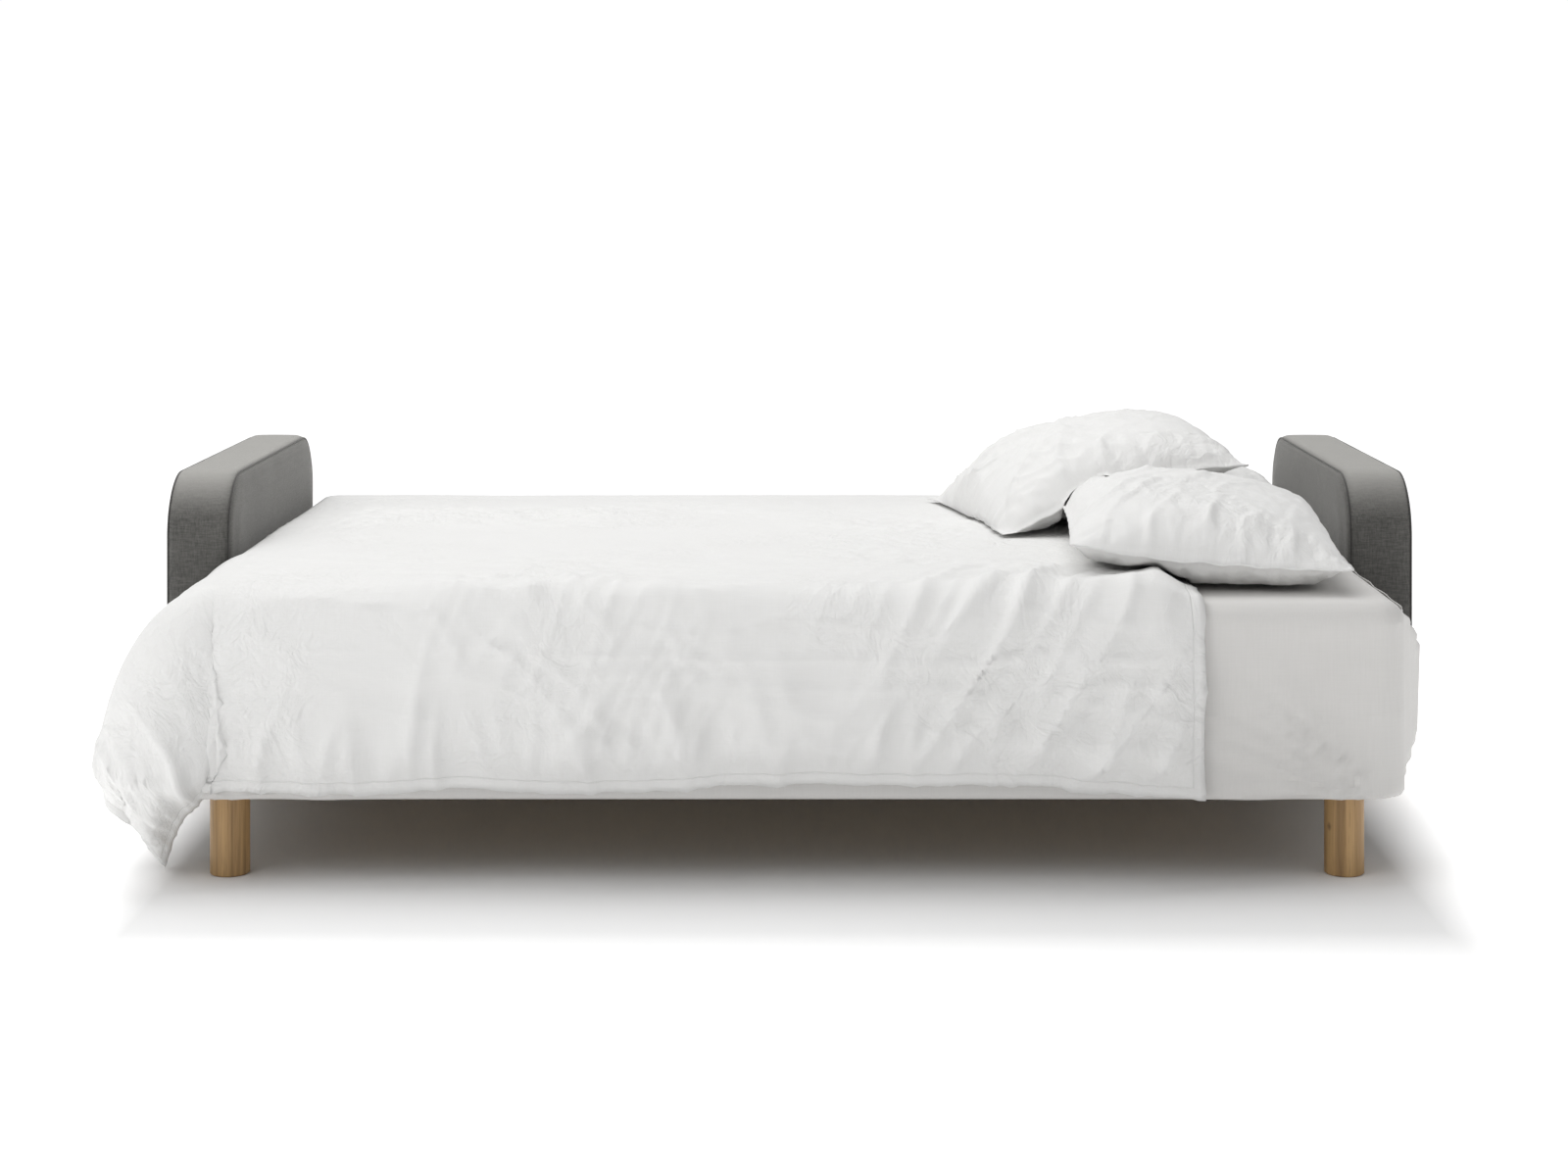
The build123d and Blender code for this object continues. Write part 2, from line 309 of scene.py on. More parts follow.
def greyWeave(name, dark, light, paintedHighlight):
    # a soft melange upholstery cloth: crossed yarns, slubs, and a painted highlight that lightens the colour
    # where it faces up, standing in for the light from above
    f = Finish(name, roughness=0.88, Sheen_Weight=0.45, Sheen_Roughness=0.42)
    f.shader.inputs["Sheen Tint"].default_value = (0.95, 0.94, 0.91, 1)
    p = f.place()
    x, y, z = f.axes(p)
    yarnX, yarnY, yarnZ = [(axis * 2 * math.pi / 0.0024).sine() for axis in (x, y, z)]
    cross = (yarnX * yarnY + yarnY * yarnZ + yarnZ * yarnX) * 0.33
    across = f.noise(f.scaled(p, 60, 60, 420), 1.0, 2.0)
    along = f.noise(f.scaled(p, 420, 420, 60), 1.0, 2.0)
    fleck = f.noise(p, 900.0, 2.0)
    cloud = f.noise(p, 7.0, 2.0)
    tone = (across * 0.75 + along * 0.75 + fleck * 0.5 + cloud * 0.5 + cross * 0.1 - 0.86).clamp(0, 1)
    # painted highlight: faces that point up are mixed towards a lighter colour, as if lit from above
    up = f.axes(f.node("ShaderNodeNewGeometry", {}, {}, "Normal"))[2]
    paintedTopLight = ((up - 0.25) / 0.75).clamp(0, 1) ** 1.4
    colour = f.mix(tone, (*dark, 1), (*light, 1))
    colour = f.mix(paintedTopLight * 0.75, colour, (*paintedHighlight, 1))
    height = cross * 0.5 + across * 0.6 + along * 0.6 + fleck * 0.3
    return f.done(colour, f.bump(height, 0.55, 0.0009))


def whiteLinen(name, colour, shade, crumple, hems=None, weave=0.0011):
    # washed linen on the cloth's own flat map, with slubs, uneven yarns and a soft crumple
    f = Finish(name, roughness=0.86, Sheen_Weight=0.12, Sheen_Roughness=0.5)
    p = f.flat()
    u, v, _ = f.axes(p)
    warp = (u * 2 * math.pi / weave).sine()
    weft = (v * 2 * math.pi / weave).sine()
    slubU = f.noise(f.scaled(p, 24, 640, 1), 1.0, 3.0, 0.6)
    slubV = f.noise(f.scaled(p, 640, 24, 1), 1.0, 3.0, 0.6)
    soft = f.noise(p, 9.0, 4.0, 0.55, 0.6)
    ridge = 1 - (f.noise(p, 17.0, 3.0, 0.5, 1.1) - 0.5).absolute() * 5
    fine = 1 - (f.noise(p, 46.0, 2.0, 0.5, 0.9) - 0.5).absolute() * 4.2
    where = f.noise(p, 3.1, 1.0)
    mask = ((where - 0.42) * 5).clamp(0.12, 1)
    height = soft * 0.5 + ridge.clamp(0, 1) * mask * 0.85 + fine.clamp(0, 1) * mask * 0.3
    rough = warp * weft * 0.35 + slubU * 0.8 + slubV * 0.8
    if hems:        # a line of stitches a little way in from each edge of the flat cover
        lowU, highU, lowV, highV = hems
        edge = (u - lowU).least(highU - u).least((v - lowV).least(highV - v))
        stitch = (1 - (edge - 0.017).absolute() / 0.0022).clamp(0, 1)
        height = height - stitch * 0.55
    surface = f.bump(rough, 0.22, 0.0005, f.bump(height, crumple, 0.006))
    tone = (slubU * 0.5 + slubV * 0.5 + soft * 0.3 - 0.25).clamp(0, 1)
    return f.done(f.mix(tone, (*shade, 1), (*colour, 1)), surface)


def smoothPercale(name, colour, shade):
    # a plain fine sheet cloth with faint upright and level threads
    f = Finish(name, roughness=0.8, Sheen_Weight=0.08, Sheen_Roughness=0.5)
    p = f.place()
    vertical = f.noise(f.scaled(p, 380, 380, 16), 1.0, 3.0)
    level = f.noise(f.scaled(p, 16, 16, 380), 1.0, 3.0)
    soft = f.noise(p, 6.0, 2.0)
    tone = (vertical * 0.5 + level * 0.35 + soft * 0.4 - 0.12).clamp(0, 1)
    height = vertical * 0.6 + level * 0.4
    return f.done(f.mix(tone, (*shade, 1), (*colour, 1)), f.bump(height, 0.12, 0.0004))


def oakGrain(name):
    # turned from glued oak staves: straight upright grain, short pores and a few small knots
    f = Finish(name, roughness=0.5, Coat_Weight=0.08, Coat_Roughness=0.35)
    p = f.place()
    x, y, _ = f.axes(p)
    swell = ((x * 1000 + y * 700) / 41.0).sine()
    stave = ((x * 900 + y * 320 + 7.0) / 12.5).floor()
    staveTone = f.node("ShaderNodeTexWhiteNoise", {"noise_dimensions": "1D"}, {"W": stave}, 0)
    rings = f.noise(f.scaled(p, 150, 150, 5), 1.0, 5.0, 0.62, 0.4)
    broad = f.noise(f.scaled(p, 42, 42, 2.5), 1.0, 3.0, 0.5, 0.7)
    pore = f.noise(f.scaled(p, 900, 900, 26), 1.0, 2.0)
    knots = f.node("ShaderNodeTexVoronoi", {}, {"Vector": f.scaled(p, 17, 17, 13), "Scale": 1.0}, 0)
    knot = (1 - knots * 9).clamp(0, 1)
    tone = (rings * 0.75 + broad * 0.55 + staveTone * 0.22 + swell * 0.03 - 0.3).clamp(0, 1)
    wood = f.node("ShaderNodeValToRGB", {"stops": [(0.14, (0.2, 0.112, 0.044)), (0.38, (0.4, 0.24, 0.098)),
                  (0.6, (0.54, 0.34, 0.148)), (0.88, (0.66, 0.45, 0.215))]}, {0: tone})
    wood = f.mix(((pore - 0.6) * 7).clamp(0, 1) * 0.5, wood, (0.16, 0.085, 0.035, 1))
    wood = f.mix(knot * 0.9, wood, (0.045, 0.022, 0.01, 1))
    return f.done(wood, f.bump(rings * 0.5 - pore * 0.7, 0.25, 0.0005), 0.42 + rings * 0.2)


def plainWood(name, light, dark, alongX):
    f = Finish(name, roughness=0.62)
    p = f.place()
    stretch = (3, 90, 90) if alongX else (70, 3, 70)
    rings = f.noise(f.scaled(p, *stretch), 1.0, 4.0, 0.6, 0.5)
    fibre = f.noise(f.scaled(p, *[s * 6 for s in stretch]), 1.0, 2.0)
    tone = (rings * 1.1 + fibre * 0.35 - 0.25).clamp(0, 1)
    return f.done(f.mix(tone, (*dark, 1), (*light, 1)), f.bump(fibre, 0.2, 0.0004))


def blackCoat(name, rough=0.46):
    f = Finish(name, roughness=rough)
    p = f.place()
    peel = f.noise(p, 900.0, 2.0)
    dust = f.noise(p, 12.0, 3.0)
    return f.done(f.mix(dust, (0.018, 0.018, 0.019, 1), (0.035, 0.035, 0.036, 1)), f.bump(peel, 0.15, 0.0003),
                  rough - 0.08 + dust * 0.16)


def zincPlate(name):
    f = Finish(name, roughness=0.34, Metallic=1.0)
    p = f.place()
    brushed = f.noise(f.scaled(p, 60, 900, 60), 1.0, 3.0)
    spangle = f.noise(p, 70.0, 2.0)
    return f.done(f.mix(spangle, (0.5, 0.51, 0.52, 1), (0.66, 0.66, 0.65, 1)), f.bump(brushed, 0.12, 0.0003),
                  0.26 + brushed * 0.2)


def softFelt(name, first, second):
    f = Finish(name, roughness=0.95)
    p = f.place()
    fluff = f.noise(p, 260.0, 4.0, 0.7)
    return f.done(f.mix(fluff, (*first, 1), (*second, 1)), f.bump(fluff, 0.3, 0.0008))


def paleFloor(name):
    # a white studio floor that glows, as painted light, more and more well away from the bed, so that the
    # shade beside and in front of the bed fades to white
    f = Finish(name, roughness=0.9, Emission_Strength=1.0)
    p = f.place()
    x, y, _ = f.axes(p)
    # painted light: the floor's glow grows with the distance beside and beyond the bed, up to 0.75
    beside = (x.absolute() - 1.0).clamp(0, 9) * 5
    beyond = (y.absolute() - 0.95).clamp(0, 9) * 1.5
    paintedFloorGlow = ((beside * beside + beyond * beyond) ** 0.5).clamp(0, 0.75)
    link(f.tree, f.mix(paintedFloorGlow, (0, 0, 0, 1), (1, 1, 1, 1)), f.shader.inputs["Emission Color"])
    return f.done(f.mix(f.noise(p, 1.5, 2.0), (0.93, 0.93, 0.93, 1), (0.95, 0.95, 0.95, 1)))


# the third colour of each cloth is its painted highlight on faces that point up
armCloth = greyWeave("armCloth", (0.035, 0.034, 0.0315), (0.165, 0.161, 0.15), (0.45, 0.441, 0.417))
seamThread = greyWeave("seamThread", (0.022, 0.021, 0.02), (0.06, 0.058, 0.054), (0.1, 0.097, 0.092))
finishes = {
    "upholstery": armCloth,
    "cushion_cover": armCloth,
    "wadding": softFelt("wadding", (0.72, 0.72, 0.7), (0.84, 0.84, 0.82)),
    "frame_pine": plainWood("framePine", (0.6, 0.47, 0.33), (0.42, 0.31, 0.2), True),
    "slat_birch": plainWood("slatBirch", (0.8, 0.66, 0.46), (0.64, 0.48, 0.29), False),
    "oak": oakGrain("oakGrain"),
    "black_steel": blackCoat("blackSteel"),
    "zinc_steel": zincPlate("zincSteel"),
    "black_nylon": blackCoat("blackNylon", 0.6),
    "lining": softFelt("liningCloth", (0.02, 0.02, 0.02), (0.05, 0.05, 0.05)),
    "sheet_cotton": smoothPercale("sheetPercale", (0.7, 0.69, 0.675), (0.6, 0.588, 0.57)),
    "white_linen": whiteLinen("pillowLinen", (0.82, 0.82, 0.815), (0.75, 0.745, 0.73), 0.4),
}
for part in frame["record"]["subparts"]:
    node = frame["nodes"][part["node"]]
    node.data.materials.clear()
    node.data.materials.append(finishes[part["material_slot"]])
print("materials ready")


# arms: firm padded boxes, a strip of cloth round the edge and a panel sewn to each side of it

armShape = {
    "cornerRadius": 0.112,
    "edgeRadius": 0.019,
    "sidePuff": 0.0035,       # how far the side panels swell inside their seams
    "stripPuff": 0.0012,      # and the strip between them
    "lower": 0.005,           # how far the padded top sits below the frame's own height for it
    "seamInset": 0.0056,      # how far each seam stands in from the outline and from the side
    "threadRadius": 0.0019,
    "voxel": 0.0052,
}


def outlineDistance(y, z, low, high, radius):
    # how far inside the arm's side outline a point is
    cy = min(max(y, low.y + radius), high.y - radius)
    cz = min(z, high.z - radius)
    reach = math.hypot(y - cy, z - cz)
    return radius - reach if (y != cy or z != cz) else radius


def addSeam(name, x, low, high):
    # the seam's thread, along the rounded edge of the arm and up round its two corners
    s = armShape
    inset = s["seamInset"]
    deselectAll()
    bpy.ops.mesh.primitive_plane_add(size=1, location=(x, 0, 0), rotation=(0, math.pi / 2, 0))
    thread = freeze(bpy.context.active_object, name)
    for vertex in thread.data.vertices:
        vertex.co.y = low.y + inset if vertex.co.y < 0 else high.y - inset
        vertex.co.z = low.z + 0.004 if vertex.co.z < 0 else high.z - inset
    startEdit(thread, "VERT")
    mesh = bmesh.from_edit_mesh(thread.data)
    for vertex in mesh.verts:
        vertex.select_set(vertex.co.z > low.z + 0.1)
    bmesh.update_edit_mesh(thread.data)
    bpy.ops.mesh.bevel(offset=s["cornerRadius"] - inset, segments=14, affect="VERTICES")
    bpy.ops.mesh.select_all(action="SELECT")
    bpy.ops.mesh.delete(type="ONLY_FACE")
    pickEdges(thread, lambda a, b, e: max(a.z, b.z) < low.z + 0.01)
    bpy.ops.mesh.delete(type="EDGE")
    endEdit()
    makeActive(thread)
    bpy.ops.object.convert(target="CURVE")
    thread.data.bevel_depth = s["threadRadius"]
    thread.data.bevel_resolution = 2
    thread.data.use_fill_caps = True
    bpy.ops.object.convert(target="MESH")
    smoothAll(thread)
    place(thread, "base", seamThread, "upholstery")


def makeArm(side):
    s = armShape
    low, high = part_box("arm_cover_" + side)
    high.z -= s["lower"]
    arm = addBlock("arm_" + side, low, high)
    startEdit(arm, "EDGE")
    pickEdges(arm, lambda a, b, e: abs(a.x - b.x) > 0.05 and a.z > high.z - 0.001)
    bpy.ops.mesh.bevel(offset=s["cornerRadius"], segments=14, affect="EDGES")
    pickEdges(arm, lambda a, b, e: abs(a.x - b.x) < 1e-5 and max(a.z, b.z) > low.z + 0.01
              and len(e.link_faces) == 2 and abs(e.link_faces[0].normal.x - e.link_faces[1].normal.x) > 0.5)
    bpy.ops.mesh.bevel(offset=s["edgeRadius"], segments=5, affect="EDGES")
    pickFaces(arm, lambda c, n: n.z < -0.9)
    bpy.ops.mesh.inset(thickness=0.004, depth=0)
    bpy.ops.mesh.inset(thickness=0.009, depth=-0.003)
    endEdit()
    useModifier(arm, "REMESH", mode="VOXEL", voxel_size=s["voxel"], use_smooth_shade=True)
    useModifier(arm, "CORRECTIVE_SMOOTH", iterations=4, use_only_smooth=True)
    middle = (low.x + high.x) / 2
    half = (high.x - low.x) / 2
    for vertex in arm.data.vertices:
        p = vertex.co
        inside = outlineDistance(p.y, p.z, low, high, s["cornerRadius"])
        offSide = (p.x - middle) / half
        if abs(offSide) > 0.9:       # the side panels puff a little inside their seams
            puff = s["sidePuff"] * ramp(inside, 0.016, 0.075) * ramp(p.z, low.z, low.z + 0.05)
            p.x += math.copysign(puff, offSide)
        else:                        # and the strip crowns across its width
            crown = s["stripPuff"] * (1 - offSide ** 2)
            waves = 0.0009 * noise.noise(Vector((p.x * 9, p.y * 14, p.z * 14)))
            if inside < 0.012:
                if p.z > high.z - s["cornerRadius"]:
                    p.z += crown + waves
                if p.y < low.y + s["cornerRadius"]:
                    p.y -= crown * ramp(p.z, low.z, low.z + 0.03)
                if p.y > high.y - s["cornerRadius"]:
                    p.y += crown * ramp(p.z, low.z, low.z + 0.03)
    smoothAll(arm)
    for number, x in enumerate((low.x + s["seamInset"], high.x - s["seamInset"])):
        addSeam("armSeam_%s_%d" % (side, number), x, low, high)
    place(arm, "base", armCloth, "upholstery", "arm_cover_" + side)
    return arm


for side in ("left", "right"):
    makeArm(side)
print("arms done")


# the cushions inside the sheet

cushionShape = {"cornerRadius": 0.045, "topRadius": 0.028, "gap": 0.001}


def makeCushion(name, node, body):
    low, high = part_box(node)
    gap = cushionShape["gap"]
    pad = addBlock(name, low + Vector((gap, gap, 0)), high - Vector((gap, gap, 0.8 * gap)))
    startEdit(pad, "EDGE")
    edgeY = low.y + gap if body == "seat" else high.y - gap        # the outer end of each cushion
    pickEdges(pad, lambda a, b, e: abs(a.z - b.z) > 0.05 and abs(a.y - edgeY) < 1e-4)
    bpy.ops.mesh.bevel(offset=cushionShape["cornerRadius"], segments=8, affect="EDGES")
    pickEdges(pad, lambda a, b, e: min(a.z, b.z) > high.z - 0.002)
    bpy.ops.mesh.bevel(offset=cushionShape["topRadius"], segments=6, affect="EDGES")
    pickFaces(pad, lambda c, n: n.z > 0.99)
    bpy.ops.mesh.inset(thickness=0.012, depth=0)
    pickEdges(pad, lambda a, b, e: max(a.z, b.z) < low.z + 0.001)
    bpy.ops.mesh.bevel(offset=0.006, segments=3, affect="EDGES")
    endEdit()
    smoothAll(pad, 40)
    place(pad, body, finishes["cushion_cover"], "cushion_cover", node)
    return pad


makeCushion("seatCushion", "seat_cushion", "seat")
makeCushion("backCushion", "back_cushion", "back")
print("cushions done")


# the fitted sheet: a stretched top, a skirt drawn in under the edge by its elastic

sheetShape = {
    "cell": 0.0092,
    "cornerRadius": 0.048,    # in plan, at the bed's corners
    "topRadius": 0.034,       # of the turn from the top to the skirt
    "grow": 0.0005,
    "thickness": 0.0012,
    "skirtRings": 26,
    "tuck": 0.034,            # how far the elastic draws the hem in under the seat
    "gatherDepth": 0.0085,    # of the creases at the front corners
    "fanFrom": 1.0,           # where the corner's creases start, out from the middle
}


def sheetEnvelope():
    s = sheetShape
    seatLow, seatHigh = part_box("sheet_on_seat")
    backLow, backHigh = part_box("sheet_on_back")
    halfX = seatHigh.x + s["grow"]
    frontY, rearY = seatLow.y - s["grow"], backHigh.y + s["grow"]
    topZ = seatHigh.z + s["grow"]
    middleY, halfY = (frontY + rearY) / 2, (rearY - frontY) / 2
    turn = s["topRadius"]
    inner = s["cornerRadius"] - turn
    outer = inner + turn * math.pi / 2
    extra = outer - s["cornerRadius"]
    flatX, flatY = halfX + extra, halfY + extra
    width, length = flatX * 2, flatY * 2
    cloth = addGrid("fittedSheet", round(width / s["cell"]), round(length / s["cell"]), width, length)
    for vertex in cloth.data.vertices:
        p = vertex.co
        a, b = max(abs(p.x) - flatX + outer, 0) / outer, max(abs(p.y) - flatY + outer, 0) / outer
        a, b = a * math.sqrt(1 - b * b / 2) * outer, b * math.sqrt(1 - a * a / 2) * outer
        reach = math.hypot(a, b)
        bend = max(reach - inner, 0) / turn
        after = min(reach, inner) + turn * math.sin(bend)
        scale = after / reach if reach > 1e-9 else 1
        x, y = min(abs(p.x), flatX - outer) + a * scale, min(abs(p.y), flatY - outer) + b * scale
        z = topZ - turn * (1 - math.cos(bend))
        vertex.co = Vector((math.copysign(x, p.x), middleY + math.copysign(y, p.y), z))
    startEdit(cloth)
    pickEdges(cloth, lambda a, b, e: e.is_boundary)
    bottom = seatLow.z - 0.0015
    drop = (topZ - turn - bottom - 0.012) / s["skirtRings"]
    for i in range(s["skirtRings"]):
        bpy.ops.mesh.extrude_edges_move(TRANSFORM_OT_translate={"value": (0, 0, -drop)})
    for inward, down in ((0.0035, 0.0075), (0.0075, 0.0035), (0.012, 0.001), (0.012, 0.0)):
        bpy.ops.mesh.extrude_edges_move(TRANSFORM_OT_translate={"value": (0, 0, -down)})
        bpy.ops.transform.resize(value=(1 - inward / halfX, 1 - inward / halfY, 1),
                                 center_override=(0, middleY, 0))
    endEdit()
    return cloth


def flatSide(top, hem):
    # cloth beyond the top's edge: over the rounding, down the skirt and in to the end of the tucked hem
    s = sheetShape
    return top - hem - (2 - math.pi / 2) * s["topRadius"] + s["tuck"]


def shapeSheet(cloth):
    s = sheetShape
    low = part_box("sheet_on_seat")[0]
    for vertex in cloth.data.vertices:
        p = vertex.co
        if p.y < low.y + 0.06 and p.z < 0.44:
            height = ramp(p.z, 0.13, 0.4)
            p.y -= 0.0016 * noise.noise(Vector((p.x * 4.0, 3.1, p.z * 5.0))) * height
            # creases that fan out of the corner where the hem is drawn in
            fromX, fromZ = s["fanFrom"] - abs(p.x), p.z - low.z + 0.02
            angle, reach = math.atan2(fromZ, max(fromX, 1e-4)), math.hypot(fromX, fromZ)
            fade = ramp(reach, 0.04, 0.1) * (1 - ramp(reach, 0.2, 0.42)) * (1 - ramp(angle, 0.55, 1.1))
            p.y -= s["gatherDepth"] * ridged(angle * 10 + 1.5 * reach, reach * 1.5, 4.2) * fade
            p.y -= 0.0016 * streak(p.x + p.z * 0.35, p.z - p.x * 0.12, 5.5, 0.3, 0.03) * ramp(p.x, 0.6, 0.8)
    return cloth


def cutSheet(cloth, name, y, keepFront):
    makeActive(cloth)
    bpy.ops.object.duplicate()
    half = bpy.context.active_object
    half.name = name
    half.data.name = name
    startEdit(half)
    bpy.ops.mesh.select_all(action="SELECT")
    bpy.ops.mesh.bisect(plane_co=(0, y, 0), plane_no=(0, 1, 0), clear_outer=keepFront,
                        clear_inner=not keepFront)
    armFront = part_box("arm_cover_right")[0].y - 0.004
    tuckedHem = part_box("sheet_on_back")[0].z + 0.001
    bpy.ops.mesh.select_all(action="SELECT")
    bpy.ops.mesh.bisect(plane_co=(0, armFront, 0), plane_no=(0, 1, 0))
    bpy.ops.mesh.select_all(action="SELECT")
    bpy.ops.mesh.bisect(plane_co=(0, 0, tuckedHem), plane_no=(0, 0, 1))
    pickFaces(half, lambda c, n: c.y > armFront and c.z < tuckedHem)
    bpy.ops.mesh.delete(type="FACE")
    endEdit()
    useModifier(half, "SOLIDIFY", thickness=sheetShape["thickness"], offset=-1.0)
    smoothAll(half, 50)
    return half


wholeSheet = shapeSheet(sheetEnvelope())
seatSheet = cutSheet(wholeSheet, "sheetOnSeat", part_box("sheet_on_seat")[1].y, True)
backSheet = cutSheet(wholeSheet, "sheetOnBack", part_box("sheet_on_back")[0].y, False)
bpy.data.objects.remove(wholeSheet)
place(seatSheet, "seat", finishes["sheet_cotton"], "sheet_cotton", "sheet_on_seat")
place(backSheet, "back", finishes["sheet_cotton"], "sheet_cotton", "sheet_on_back")
(seatLow, seatHigh), (backLow, backHigh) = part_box("sheet_on_seat"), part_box("sheet_on_back")
seatSide = flatSide(seatHigh.z, seatLow.z)
backSide = flatSide(backHigh.z, backLow.z) - sheetShape["tuck"]
seatFlat = (2 * (seatHigh.x + seatSide), seatHigh.y - seatLow.y + seatSide)
backFlat = (2 * (backHigh.x + backSide), backHigh.y - backLow.y + backSide)
print("sheet flats", [round(v, 3) for v in seatFlat + backFlat])


# the slack of the sheet that is stretched over the front of the right arm

flapShape = {
    "columns": 44,
    "rows": 22,
    "start": -0.615,          # where it leaves the seat's side
    "bow": 0.006,
    "hem": 0.1385,
    "topZ": 0.4385,
    "wrap": 0.05,             # how far it goes round the arm's outer side
    "offSeat": 0.0012,
    "offFront": 0.0095,
    "offSide": 0.0075,
}


def makeFlap():
    s = flapShape
    armLow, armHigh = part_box("arm_cover_right")
    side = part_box("sheet_on_seat")[1].x + s["offSeat"]
    faceY = armLow.y - s["offFront"]
    outerX = armHigh.x + s["offSide"]
    run = faceY - s["start"]
    wrap = s["wrap"]
    flap = addGrid("sheetFlap", s["columns"], s["rows"], 1, 1)
    for vertex in flap.data.vertices:
        along = (vertex.co.x + 0.5) * (run + wrap)
        down = vertex.co.y + 0.5                        # 0 at the hem, 1 at the top
        if along < run:
            share = along / run
            y = s["start"] + along
            reach = (outerX - side) * share ** 1.15 + s["bow"] * math.sin(math.pi * share)
        else:
            share = 1.0
            y = faceY + (along - run)
            reach = outerX - side + 0.004 * math.sin((along - run) / wrap * math.pi / 2)
        shoulder = s["topZ"] - 1.06 * reach - 0.004      # the top edge slopes down from the seat
        if down > 0.5:
            t = (down - 0.5) * 2
            x, z = side + reach * (1 - t), shoulder + (s["topZ"] - shoulder) * t
            if share >= 1.0:                            # round the arm's side the top edge stays low
                x, z = side + reach, shoulder + 0.001 * t
        else:
            t = down * 2
            x = side + reach * (0.965 + 0.035 * t)
            z = s["hem"] + (shoulder - s["hem"]) * t
        rib = 0.004 * math.sin(along * 46 + z * 18) * (1 - share) * share * 4 * (1 - abs(down - 0.5))
        ridge = 0.005 * math.exp(-((down - 0.55) / 0.05) ** 2) * math.sin(math.pi * min(1, share))
        vertex.co = Vector((x + rib + ridge, y - ridge * 0.5, z))
    faceOut(flap)
    useModifier(flap, "SOLIDIFY", thickness=sheetShape["thickness"], offset=0.0)
    smoothAll(flap)
    place(flap, "seat", finishes["sheet_cotton"], "sheet_cotton", "sheet_arm_flap")
    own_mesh(flap)
    return flap


makeFlap()
print("sheet done")


# duvet: a flat cover laid over the bed, falling over the front edge and the foot end

duvetShape = {
    "cell": 0.0076,
    "turn": 0.036,            # where the cover starts to turn down, in from the bed's front edge
    "footTurn": 0.085,        # the same at the foot end, in front of the arm
    "armTurn": 0.045,         # and beside the arm
    "frontBend": 0.03,        # how slowly it turns at the front
    "footBend": 0.135,        # and at the foot end
    "frontFall": 0.306,       # cloth beyond the start of the turn, at the front
    "footFall": 0.39,         # and at the foot end
    "loft": 0.022,
    "rim": 0.0065,
    "tuckBack": 0.85,         # how far the hanging corner swings back under the bed
    "tuckFrom": 0.258,        # how far down that starts
}


def fallTable(step=0.02, count=700):
    # out and down along a cloth that turns from level to upright ever more slowly
    rows, out, down = [(0.0, 0.0)], 0.0, 0.0
    for i in range(count):
        angle = math.pi / 2 * (1 - math.exp(-(i + 0.5) * step))
        out += math.cos(angle) * step
        down += math.sin(angle) * step
        rows.append((out, down))
    return rows, step


fallRows, fallStep = fallTable()


def duvetPlace(u, v, edgeX, edgeY, baseZ):
    # where a point of the flat cover goes, how far it hangs, and how much of that is over the foot end
    s = duvetShape
    footTurn = s["footTurn"] + (s["armTurn"] - s["footTurn"]) * ramp(v, -0.24, -0.13)
    cx, cy = max(u, edgeX + footTurn), max(v, edgeY + s["turn"])
    dx, dy = u - cx, v - cy
    length = math.hypot(dx, dy)
    if length < 1e-9:
        return Vector((u, v, baseZ)), 0.0, 0.0
    nx, ny = dx / length, dy / length
    foot = nx * nx
    bend = s["frontBend"] + (s["footBend"] - s["frontBend"]) * foot
    row = min(length / bend / fallStep, len(fallRows) - 1.001)
    i = int(row)
    (outA, downA), (outB, downB) = fallRows[i], fallRows[i + 1]
    out = (outA + (outB - outA) * (row - i)) * bend
    drop = (downA + (downB - downA) * (row - i)) * bend
    under = max(0.0, drop - s["tuckFrom"]) * ramp(foot, 0.0, 0.12) * (1 - ramp(foot, 0.75, 1.0))
    spot = Vector((cx + nx * out, cy + ny * out + s["tuckBack"] * under, baseZ - drop))
    return spot, drop, foot


def duvetFold(u, v, drop, foot):
    # height of the folds and creases above the smooth cover
    z = 0.005 * (1 + noise.noise(Vector((u * 2.1, v * 2.6, 0.4))))
    z += 0.003 * noise.noise(Vector((u * 5.5, v * 6.5, 3.1)))
    hang = ramp(drop, 0.02, 0.24) * (1 - foot)
    z += 0.021 * streak(v, u, 1.3, 0.55, 0.17, 3) * hang
    z += 0.013 * streak(v, u, 6.1, 0.3, 0.07, 2.2) * hang * ramp(drop, 0.1, 0.27)
    z += 0.006 * streak(v, u, 9.7, 0.2, 0.03, 2) * hang * ramp(drop, 0.16, 0.28)
    along, across = u * 0.55 + v * 0.83, -u * 0.83 + v * 0.55
    pull = ramp(u, -0.05, 0.4) * ramp(-v, 0.35, 0.7)
    z += 0.018 * streak(along, across, 8.8, 0.6, 0.11, 3) * pull
    z += 0.008 * streak(along, across, 4.6, 0.3, 0.04, 2.2) * pull
    turn = ramp(-v, 0.2, 0.62) * (1 - ramp(drop, 0.12, 0.3))
    z += 0.0055 * streak(u + v * 0.4, v, 2.9, 0.28, 0.05, 2.4) * turn * (1 - foot)
    patch = ramp(noise.noise(Vector((u * 1.9 + 3, v * 2.4, 2.0))), 0.02, 0.4)
    z += 0.006 * streak(u * 0.8 - v * 0.6, u * 0.6 + v * 0.8, 7.7, 0.16, 0.035, 2.2) * patch
    z += 0.005 * streak(u * 0.5 + v * 0.8, u * 0.8 - v * 0.5, 3.3, 0.14, 0.03, 2.2) * patch
    z += 0.006 * streak(v, u * 1.2, 4.4, 0.5, 0.1, 3) * foot * ramp(drop, 0.02, 0.2)
    return z


